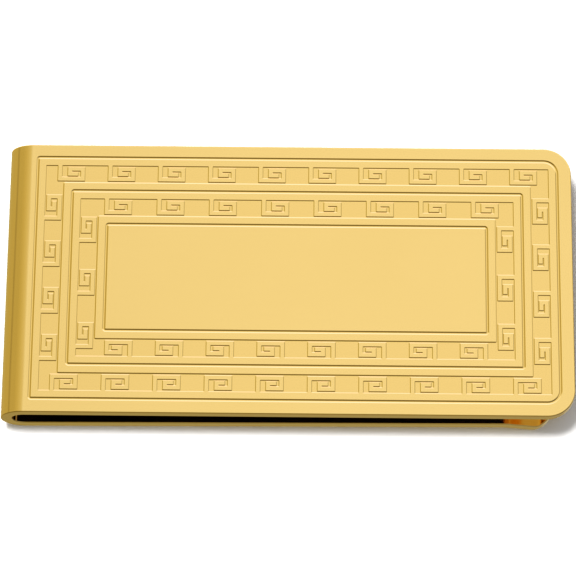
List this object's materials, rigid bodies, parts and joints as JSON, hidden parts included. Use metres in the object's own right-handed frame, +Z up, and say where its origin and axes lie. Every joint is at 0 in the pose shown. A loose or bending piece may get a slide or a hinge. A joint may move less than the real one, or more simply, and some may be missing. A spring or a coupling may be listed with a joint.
{
  "type": "money clip",
  "caption": "Folded money clip with a coined key-pattern front, a half-round spring bend and a back leaf that ends in a flared lip.",
  "frame": {"origin": "on the resting plane, under the middle of the clip", "axes": "+X along the clip towards its open end, +Y across it, +Z up through the patterned front"},
  "size_m": [0.0511, 0.0254, 0.0043],
  "materials": {
    "polished_gold": "polished"
  },
  "bodies": {
    "front": {"front_plate": "polished_gold", "spring_bend": "polished_gold"},
    "leaf": {"spring_leaf": "polished_gold"}
  },
  "joints": [
    {"name": "leaf_open", "type": "hinge", "parent": "leaf", "child": "front", "pos_m": [-0.0234, 0, 0.00215], "axis": [0, -1, 0], "range_deg": [0, 5], "stiffness_Nm_per_rad": 6.6, "deforming": ["spring_bend"]}
  ]
}
